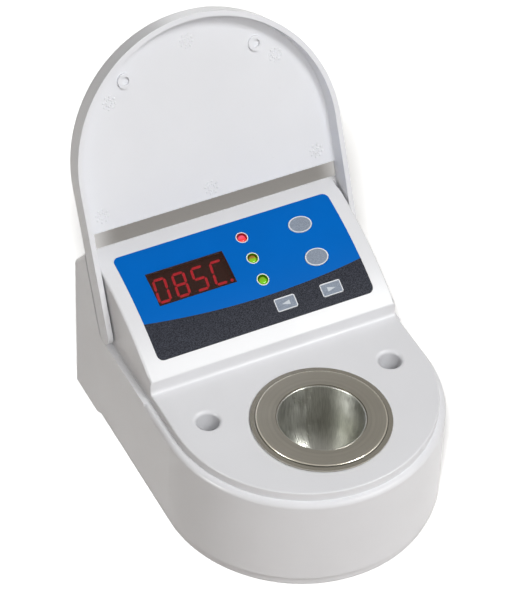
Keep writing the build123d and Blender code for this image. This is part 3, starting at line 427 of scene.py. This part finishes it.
def lens(name, centre, lower, upper, strength):
    """A sunken lamp: two hues that meet across it, and a painted shadow, a dark crescent towards the upper
    left where the rim round the lens shades it.
    """
    wave, seam_low, seam_high = 1.6, -0.7, 0.8
    # Centre and radii of the painted shadow's crescent, in millimetres from the lamp's centre
    shadow_across, shadow_up, shadow_inner, shadow_outer = 0.22, -0.42, 1.5, 2.1
    material, t, shader = start(name)
    across, up = t.group(shared("panel"))[:2]
    u = t.math("SUBTRACT", across, centre[0])
    v = t.math("SUBTRACT", up, centre[1])
    uneven = t.math("SUBTRACT", t.noise(900.0, detail=3.0), 0.5)
    wavy = t.math("MULTIPLY_ADD", uneven, wave, v)
    hue = t.mix(t.step(wavy, seam_low, seam_high), lower, upper)
    # Painted shadow: the lens is darkened in a crescent towards the upper left, as if shaded by the rim
    # round it
    from_shadow_centre = t.reach(t.math("SUBTRACT", u, shadow_across), t.math("SUBTRACT", v, shadow_up))
    hue = t.mix(t.step(from_shadow_centre, shadow_inner, shadow_outer), hue, times(upper, 0.25))
    t.put(hue, shader.inputs["Base Color"])
    t.put(hue, shader.inputs["Emission Color"])
    shader.inputs["Emission Strength"].default_value = strength
    shader.inputs["Roughness"].default_value = 0.25
    return material


def lamp_light_mask(centre):
    """A mask of the bore of a lamp's bezel and the edge round it, where the lamp's light is painted on in
    its colour.
    """
    def mask_of(t):
        across, up = t.group(shared("panel"))[:2]
        reach = t.reach(t.math("SUBTRACT", across, centre[0]), t.math("SUBTRACT", up, centre[1]))
        return t.step(reach, LAMP_LIGHT_REACH + 0.05, LAMP_LIGHT_REACH - 0.05)
    return mask_of


def tinted_window(name):
    """Dark red window with an opaque margin, through which part of the readout shows."""
    uneven, margin_low, margin_high = 0.16, 0.1, 0.6
    colours, sizes = settings().colours, settings().sizes
    material, t, shader = start(name)
    across, up = t.group(shared("panel"))[:2]
    noise = t.noise(800.0, detail=3.0)
    t.put(t.mix(noise, times(colours.window, 0.6), times(colours.window, 1.6)), shader.inputs["Base Color"])
    roughness = t.group(shared("handling"), roughness=0.22, change=0.15)[0]
    t.put(roughness, shader.inputs["Roughness"])
    inside = inside_edge(t, across, up, WINDOW_CENTRE, WINDOW_SIZE, "plate")[0]
    tinted = t.math("MULTIPLY_ADD", noise, uneven, sizes.window_hides - uneven / 2)
    margin = t.math("SUBTRACT", 1.0, t.step(inside, margin_low, margin_high))
    t.put(t.math("MAXIMUM", tinted, margin), shader.inputs["Alpha"])
    material.surface_render_method = "BLENDED"
    return material


def weave(name, base, scale):
    """Braided or woven fibre."""
    material, t, shader = start(name)
    waves = [
        t.add("ShaderNodeTexWave", {"Vector": t.place(), "Scale": scale}, bands_direction=axis).outputs[1]
        for axis in ("DIAGONAL", "Z")
    ]
    height = t.math("MULTIPLY", *waves)
    t.put(t.mix(height, times(base, 0.7), base), shader.inputs["Base Color"])
    shader.inputs["Roughness"].default_value = 0.85
    bump(t, shader, height, strength=0.5, distance=0.2)
    return material


def dress(nodes, material):
    """Gives CAD pieces one finish."""
    for name in nodes:
        obj = frame["nodes"][name]
        obj.data.materials.clear()
        obj.data.materials.append(material)


# ---- Meshes
def new_piece(name, mesh_maker, material, body):
    """A piece built with bmesh in the row frame, which then rides on a body."""
    bm = bmesh.new()
    mesh_maker(bm)
    bmesh.ops.recalc_face_normals(bm, faces=bm.faces)
    mesh = bpy.data.meshes.new(name)
    bm.to_mesh(mesh)
    bm.free()
    for face in mesh.polygons:
        face.use_smooth = True
    obj = bpy.data.objects.new(name, mesh)
    bpy.context.scene.collection.objects.link(obj)
    obj.data.materials.append(material)
    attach(obj, body)


def opened():
    """The turn from the shut lid to the lid as it stands open."""
    pivot = Matrix.Translation(Vector(HINGE["pos_m"]))
    turn = Matrix.Rotation(-math.radians(HINGE["range_deg"][1]), 4, "X")
    return pivot @ turn @ pivot.inverted()


def dome(bm, place, radius, height):
    """A low round bump on a face."""
    sides, rings = 8, 3
    rows = []
    for i in range(rings):
        lift = math.pi / 2 * i / rings
        across, up = radius * math.cos(lift), height * math.sin(lift)
        turns = [2 * math.pi * k / sides for k in range(sides)]
        spots = [Vector((across * math.cos(turn), across * math.sin(turn), up)) for turn in turns]
        rows.append([bm.verts.new(place @ spot) for spot in spots])
    top = bm.verts.new(place @ Vector((0, 0, height)))
    for low, high in zip(rows, rows[1:]):
        for k in range(sides):
            bm.faces.new((low[k], low[(k + 1) % sides], high[(k + 1) % sides], high[k]))
    for k in range(sides):
        bm.faces.new((rows[-1][k], rows[-1][(k + 1) % sides], top))
    bm.faces.new(list(reversed(rows[0])))


# ---- Operators
def direction(azimuth, elevation):
    """Unit vector towards a place round the object, in degrees from the front and above the floor."""
    azimuth, elevation = math.radians(azimuth), math.radians(elevation)
    level = math.cos(elevation)
    return Vector((math.sin(azimuth) * level, -math.cos(azimuth) * level, math.sin(elevation)))


class WAXHEATER_OT_stage(bpy.types.Operator):
    """Floor, light and camera"""

    bl_idname = "wax_heater.stage"
    bl_label = "Stage"

    def execute(self, context):
        self.light(context, self.floor(context))
        self.camera(context)
        return {"FINISHED"}

    def floor(self, context):
        """A pale floor, which the camera and reflections see whiter than it is."""
        gap = 0.1 * MM
        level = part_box("rubber_feet")[0].z
        bm = bmesh.new()
        bmesh.ops.create_grid(bm, x_segments=8, y_segments=8, size=1.2)
        mesh = bpy.data.meshes.new("floor")
        bm.to_mesh(mesh)
        bm.free()
        floor = bpy.data.objects.new("floor", mesh)
        floor.location.z = level - gap
        context.scene.collection.objects.link(floor)
        floor.data.materials.append(self.floor_material())
        return floor

    def floor_material(self):
        darker, lighter = (0.37, 0.335, 0.305), (0.41, 0.375, 0.345)
        near, near_white = 0.12, (1.30, 1.295, 1.28)
        far, far_white = 0.6, (2.8, 2.8, 2.75)
        material, t, shader = start("pale floor")
        t.put(t.mix(t.noise(3.0), darker, lighter), shader.inputs["Base Color"])
        shader.inputs["Roughness"].default_value = 0.8
        shader.inputs["Specular IOR Level"].default_value = 0.1
        ray = t.add("ShaderNodeLightPath").outputs
        seen = t.math("MAXIMUM", ray["Is Camera Ray"], ray["Is Glossy Ray"])
        seen = t.math("MAXIMUM", seen, ray["Is Transmission Ray"])
        away = t.add("ShaderNodeVectorMath", {0: t.place()}, operation="LENGTH").outputs["Value"]
        white = t.mix(t.step(away, near, far), near_white, far_white)
        pale = t.add("ShaderNodeBsdfDiffuse", {"Color": white, "Roughness": 0.0})
        pick = t.add("ShaderNodeMixShader", {0: seen, 1: shader.outputs[0], 2: pale.outputs[0]})
        out = next(n for n in t.nodes if n.type == "OUTPUT_MATERIAL")
        t.put(pick.outputs[0], out.inputs[0])
        return material

    def light(self, context, floor):
        """A key lamp for the floor, a main lamp and three fills for the object, and two strips for gloss."""
        self.world(context)
        aim = Vector((0, 0.02, 0.05))
        cool, neutral = (0.97, 0.982, 1.0), (0.98, 1.0, 0.97)
        # name, place round the aim, size, power, colour, lights faces, shows in gloss, what it lights
        lamps = (
            ("floor key", (-31, 51, 1.75), 0.34, 33.0, cool, True, False, "floor"),
            ("main", (13, 58, 1.7), 0.5, 15.3, cool, True, False, "object"),
            ("left fill", (-12, 42, 1.6), 0.6, 6.8, cool, True, False, "object"),
            ("right fill", (62, 15, 1.6), 0.6, 1.2, cool, True, True, "object"),
            ("rear fill", (160, 4, 1.6), 0.6, 2.4, cool, True, True, "object"),
            ("right strip", (42, 51, 1.65), 0.65, 17.0, neutral, False, True, "all"),
            ("left strip", (-87, 20, 1.65), 0.42, 19.0, neutral, False, True, "all"),
        )
        for name, place, size, power, hue, on_faces, in_gloss, lights in lamps:
            azimuth, elevation, distance = place
            lamp = bpy.data.lights.new(name, "AREA")
            lamp.shape, lamp.size, lamp.energy, lamp.color = "DISK", size, power, hue
            towards = direction(azimuth, elevation)
            obj = bpy.data.objects.new(name, lamp)
            obj.location = aim + towards * distance
            obj.visible_diffuse, obj.visible_glossy = on_faces, in_gloss
            obj.rotation_mode = "QUATERNION"
            obj.rotation_quaternion = (-towards).to_track_quat("-Z", "Y")
            context.scene.collection.objects.link(obj)
            if lights != "all":
                self.link(obj, floor, "INCLUDE" if lights == "floor" else "EXCLUDE")
        context.scene.view_settings.view_transform = "Standard"

    def link(self, lamp, floor, state):
        """Makes a lamp light only the floor, or all but the floor."""
        lit = bpy.data.collections.new(lamp.name)
        lit.objects.link(floor)
        lit.collection_objects[0].light_linking.link_state = state
        lamp.light_linking.receiver_collection = lit

    def world(self, context):
        """White behind the object, and a dim room that lights it and shows in its gloss."""
        world = bpy.data.worlds.new("studio")
        context.scene.world = world
        world.use_nodes = True
        t = Tree(world.node_tree)
        background = next(n for n in t.nodes if n.type == "BACKGROUND")
        ray = t.add("ShaderNodeLightPath").outputs
        seen = t.math("MAXIMUM", ray["Is Camera Ray"], ray["Is Transmission Ray"])
        on_faces, in_gloss = (0.19, 0.181, 0.171), (0.42, 0.41, 0.39)
        room = t.mix(ray["Is Glossy Ray"], on_faces, in_gloss)
        t.put(t.mix(seen, room, (1.0, 1.0, 1.0)), background.inputs["Color"])

    def camera(self, context):
        """The photograph's camera, turned and placed as it was fitted."""
        azimuth, elevation, roll = -28.13, 43.59, math.radians(2.35)
        target, distance = Vector((-3.72, 32.71, 69.57)) * MM, 1146.55 * MM
        back = direction(azimuth, elevation)
        right = Vector((math.cos(math.radians(azimuth)), math.sin(math.radians(azimuth)), 0))
        up = back.cross(right)
        side = right * math.cos(roll) + up * math.sin(roll)
        above = up * math.cos(roll) - right * math.sin(roll)
        data = bpy.data.cameras.new("camera")
        data.sensor_width, data.lens = 36.0, 183.08
        data.clip_start, data.clip_end = 0.05, 20
        camera = bpy.data.objects.new("camera", data)
        turn = Matrix((side, above, back)).transposed().to_4x4()
        camera.matrix_world = Matrix.Translation(target + back * distance) @ turn
        context.scene.collection.objects.link(camera)
        context.scene.camera = camera


class WAXHEATER_OT_case(bpy.types.Operator):
    """White moulded case and bottom cover"""

    bl_idname = "wax_heater.case"
    bl_label = "Case"

    def execute(self, context):
        base = tuple(settings().colours.case)
        dress(["main_housing"], plastic("case plastic", base, 0.34))
        dress(["bottom_cover"], plastic("cover plastic", times(base, 0.97), 0.42))
        return {"FINISHED"}


class WAXHEATER_OT_lid(bpy.types.Operator):
    """White lid with the ejector marks on its inner face"""

    bl_idname = "wax_heater.lid"
    bl_label = "Lid"

    def execute(self, context):
        finish = plastic("lid plastic", tuple(settings().colours.lid), 0.36)
        dress(["lid"], finish)
        new_piece("lid_mould_marks", self.marks, finish, "lid")
        return {"FINISHED"}

    def marks(self, bm):
        """Each mark is two rings of low domes. The places are in millimetres with the lid shut."""
        places = ((0, -43.2), (34.9, -28.1), (-34.9, -28.1), (45.7, 14.4), (-45.7, 14.4), (0, 16.2))
        count, first, height = 8, 0.3, 0.22 * MM
        ring_shares = ((1.0, 0.56 * MM), (0.5, 0.42 * MM))
        reach = settings().sizes.mark_radius
        facing_down = Matrix.Rotation(math.pi, 4, "X")
        for x, y in places:
            for i in range(count):
                turn = 2 * math.pi * (i + first) / count
                for share, radius in ring_shares:
                    across = x * MM + share * reach * math.cos(turn)
                    along = y * MM + share * reach * math.sin(turn)
                    spot = Matrix.Translation(Vector((across, along, LID_PLATE_UNDERSIDE)))
                    dome(bm, opened() @ spot @ facing_down, radius, height)


class WAXHEATER_OT_hinge(bpy.types.Operator):
    """Hinge pins and their clips"""

    bl_idname = "wax_heater.hinge"
    bl_label = "Hinge"

    def execute(self, context):
        dress(["hinge_pins", "hinge_clips"], metal("ground steel", (0.62, 0.62, 0.63), 0.28))
        return {"FINISHED"}


class WAXHEATER_OT_panel_film(bpy.types.Operator):
    """Printed film over the sloped front"""

    bl_idname = "wax_heater.panel_film"
    bl_label = "Panel film"

    def execute(self, context):
        dress(["panel_overlay"], printed("panel film", 0.42, film_colour))
        return {"FINISHED"}


class WAXHEATER_OT_readout(bpy.types.Operator):
    """Tinted window, display module and lit digits"""

    bl_idname = "wax_heater.readout"
    bl_label = "Readout"

    def execute(self, context):
        dress(["display_filter"], tinted_window("tinted window"))
        dress(["display_module"], plastic("display module", (0.055, 0.012, 0.006), 0.5))
        dress(["lit_segments"], glowing("lit segment", tuple(settings().colours.segment), 1.8, 0.5))
        return {"FINISHED"}


class WAXHEATER_OT_lamps(bpy.types.Operator):
    """Three indicator lamps with their white bezels"""

    bl_idname = "wax_heater.lamps"
    bl_label = "Indicator lamps"

    def execute(self, context):
        # name, place up the panel, colour of its lower half, of its upper half, glow
        lamps = (
            ("heat_led", 37.90, (0.80, 0.035, 0.035), (0.72, 0.07, 0.14), 0.45),
            ("unit_led", 28.01, (0.20, 0.50, 0.005), (0.30, 0.13, 0.02), 0.25),
            ("set_led", 18.30, (0.15, 0.46, 0.004), (0.17, 0.34, 0.006), 0.35),
        )
        lamp_light_prints = []
        for name, up, lower, upper, strength in lamps:
            centre = (LAMP_ACROSS, up)
            dress([name], lens(name.replace("_", " "), centre, lower, upper, strength))
            # Painted lamp light: each lamp's colour, a little darker, painted on the bore and edge of its
            # white bezel
            lamp_light_prints.append((lamp_light_mask(centre), times(lower, 0.7)))
        dress(["led_rings"], plastic("lamp bezel", (0.93, 0.94, 0.96), 0.35, prints=lamp_light_prints))
        return {"FINISHED"}


class WAXHEATER_OT_keys(bpy.types.Operator):
    """Four key caps with outlines and arrows"""

    bl_idname = "wax_heater.keys"
    bl_label = "Keys"

    def execute(self, context):
        keys = (
            ("upper_oval_key", (29.5, 35.7), OVAL_SIZE, "oval", 0),
            ("lower_oval_key", (29.5, 20.4), OVAL_SIZE, "oval", 0),
            ("left_arrow_key", (10.1, 6.5), ARROW_SIZE, "plate", -1),
            ("right_arrow_key", (29.7, 6.5), ARROW_SIZE, "plate", 1),
        )
        for name, centre, size, kind, pointing in keys:
            base_of = key_colour(centre, size, kind, pointing)
            dress([name], printed(name.replace("_", " "), 0.4, base_of))
        return {"FINISHED"}


class WAXHEATER_OT_pot(bpy.types.Operator):
    """Bowl, trim ring and gasket"""

    bl_idname = "wax_heater.pot"
    bl_label = "Wax pot"

    def execute(self, context):
        colours, sizes = settings().colours, settings().sizes
        ring, bowl = tuple(colours.ring), tuple(colours.bowl)
        face, mouth = sizes.ring_face, sizes.pot_mouth
        lip = (mouth + 0.45 * MM, mouth + 8 * MM, ring, 0.34)
        finish = metal(
            "spun bowl", bowl, 0.38, rings=0.05, lines=1.0, depth=0.3, change=0.3, spun=0.78, bands=[lip]
        )
        dress(["wax_pot"], finish)
        # Painted light on the trim ring: a painted highlight just inside the edge of its raised face, and a
        # painted shade in the corner where the face steps down to the flange
        painted_highlight_edge = (face - 0.55 * MM, face - 0.1 * MM, times(ring, 1.9), 0.24)
        painted_shade_corner = (face - 0.05 * MM, face + 0.25 * MM, times(ring, 0.35), 0.4)
        flange = (face + 0.3 * MM, face + 4 * MM, times(ring, 0.95), 0.24)
        bands = [painted_highlight_edge, painted_shade_corner, flange]
        finish = metal("trim ring", ring, 0.34, rings=0.3, depth=0.015, change=0.2, bands=bands)
        dress(["pot_trim_ring"], finish)
        dress(["pot_gasket"], plastic("gasket rubber", (0.04, 0.04, 0.04), 0.8))
        return {"FINISHED"}


class WAXHEATER_OT_heater(bpy.types.Operator):
    """Heater band, insulation, shield and sensors under the pot"""

    bl_idname = "wax_heater.heater"
    bl_label = "Heater"

    def execute(self, context):
        plated = metal("plated steel", (0.55, 0.55, 0.56), 0.38)
        dress(["pot_clamp_plate", "sensor_clip", "clamp_nuts", "band_screw"], plated)
        dress(["heater_band"], metal("band steel", (0.45, 0.42, 0.38), 0.4))
        dress(["insulation_sleeve"], weave("ceramic weave", (0.80, 0.77, 0.70), 260.0))
        dress(["heat_shield"], metal("shield aluminium", (0.68, 0.68, 0.69), 0.42))
        dress(["temperature_sensor"], metal("sensor steel", (0.6, 0.6, 0.62), 0.3))
        dress(["thermal_fuse"], metal("fuse brass", (0.62, 0.47, 0.2), 0.3))
        return {"FINISHED"}


class WAXHEATER_OT_electronics(bpy.types.Operator):
    """Boards and what is soldered to them"""

    bl_idname = "wax_heater.electronics"
    bl_label = "Electronics"

    def execute(self, context):
        dress(["control_board", "power_board"], plastic("solder mask", (0.01, 0.10, 0.03), 0.3, grain=0.8))
        dress(["control_chip", "tact_switches"], plastic("black resin", (0.02, 0.02, 0.02), 0.5))
        dress(["board_connector"], plastic("connector nylon", (0.70, 0.66, 0.55), 0.5))
        dress(["terminal_block"], plastic("terminal nylon", (0.02, 0.16, 0.05), 0.45))
        dress(["board_capacitor"], plastic("capacitor sleeve", (0.01, 0.02, 0.10), 0.3))
        dress(["mosfet_heatsink"], metal("black anodised", (0.05, 0.05, 0.055), 0.45))
        return {"FINISHED"}


class WAXHEATER_OT_wires(bpy.types.Operator):
    """Wires inside the case"""

    bl_idname = "wax_heater.wires"
    bl_label = "Wires"

    def execute(self, context):
        dress(["heater_leads"], weave("glass braid", (0.62, 0.58, 0.50), 500.0))
        dress(["sensor_leads"], plastic("white sleeve", (0.72, 0.72, 0.70), 0.45))
        dress(["power_leads"], plastic("red sleeve", (0.38, 0.01, 0.01), 0.4))
        dress(["signal_leads"], plastic("grey sleeve", (0.07, 0.07, 0.075), 0.45))
        return {"FINISHED"}


class WAXHEATER_OT_fasteners(bpy.types.Operator):
    """Screws and feet"""

    bl_idname = "wax_heater.fasteners"
    bl_label = "Screws and feet"

    def execute(self, context):
        names = ["case_screws", "control_board_screws", "power_board_screws"]
        dress(names, metal("zinc plate", (0.56, 0.57, 0.60), 0.34))
        dress(["rubber_feet"], plastic("foot rubber", (0.035, 0.035, 0.037), 0.85, grain=0.4, dust=0.2))
        return {"FINISHED"}


class WAXHEATER_OT_rear_fittings(bpy.types.Operator):
    """Supply socket and rocker switch"""

    bl_idname = "wax_heater.rear_fittings"
    bl_label = "Rear fittings"

    def execute(self, context):
        dress(["dc_jack"], plastic("socket plastic", (0.02, 0.02, 0.02), 0.35))
        dress(["jack_nut"], metal("nut plate", (0.6, 0.6, 0.6), 0.3))
        dress(["switch_body"], plastic("switch frame", (0.02, 0.02, 0.02), 0.5))
        marks = [(self.on_off, (0.7, 0.7, 0.7))]
        dress(["switch_rocker"], plastic("rocker plastic", (0.03, 0.03, 0.03), 0.3, prints=marks))
        return {"FINISHED"}

    def on_off(self, t):
        """A bar on the upper half of the rocker and a ring on its lower half, in millimetres."""
        from_middle, half_line, half_bar, ring_radius = 4.4, 0.3, 1.5, 1.3
        low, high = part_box("switch_rocker")
        middle = (low + high) / 2
        x, _, z = t.xyz()
        across = t.math("MULTIPLY", t.math("SUBTRACT", x, middle.x), 1000.0)
        up = t.math("MULTIPLY", t.math("SUBTRACT", z, middle.z), 1000.0)
        beside = t.math("SUBTRACT", half_line, t.math("ABSOLUTE", across))
        from_bar = t.math("ABSOLUTE", t.math("SUBTRACT", up, from_middle))
        along = t.math("SUBTRACT", half_bar, from_bar)
        bar = t.step(t.math("MINIMUM", beside, along), -0.05, 0.05)
        reach = t.reach(across, t.math("ADD", up, from_middle))
        from_line = t.math("ABSOLUTE", t.math("SUBTRACT", reach, ring_radius))
        ring = t.step(t.math("SUBTRACT", half_line, from_line), -0.05, 0.05)
        return t.math("MAXIMUM", bar, ring)


class WAXHEATER_PT_pieces(bpy.types.Panel):
    """Pieces of the wax heater"""

    bl_label = "Wax heater"
    bl_idname = "WAXHEATER_PT_pieces"
    bl_space_type = "VIEW_3D"
    bl_region_type = "UI"
    bl_category = "Wax heater"

    def draw(self, context):
        layout = self.layout
        for operator in OPERATORS:
            layout.operator(operator.bl_idname)
        for settings_group in (context.scene.wax_heater.colours, context.scene.wax_heater.sizes):
            box = layout.box()
            for name in settings_group.__annotations__:
                box.prop(settings_group, name)


OPERATORS = (
    WAXHEATER_OT_stage,
    WAXHEATER_OT_case,
    WAXHEATER_OT_lid,
    WAXHEATER_OT_hinge,
    WAXHEATER_OT_panel_film,
    WAXHEATER_OT_readout,
    WAXHEATER_OT_lamps,
    WAXHEATER_OT_keys,
    WAXHEATER_OT_pot,
    WAXHEATER_OT_heater,
    WAXHEATER_OT_electronics,
    WAXHEATER_OT_wires,
    WAXHEATER_OT_fasteners,
    WAXHEATER_OT_rear_fittings,
)
CLASSES = (WaxHeaterColours, WaxHeaterSizes, WaxHeaterSettings, *OPERATORS, WAXHEATER_PT_pieces)


def register():
    for cls in CLASSES:
        bpy.utils.register_class(cls)
    bpy.types.Scene.wax_heater = PointerProperty(
        type=WaxHeaterSettings, name="Wax heater", description="Settings of the wax heater"
    )


def unregister():
    del bpy.types.Scene.wax_heater
    for cls in reversed(CLASSES):
        bpy.utils.unregister_class(cls)


def main():
    register()
    for operator in OPERATORS:
        family, name = operator.bl_idname.split(".")
        getattr(getattr(bpy.ops, family), name)()


if __name__ == "__main__":
    main()
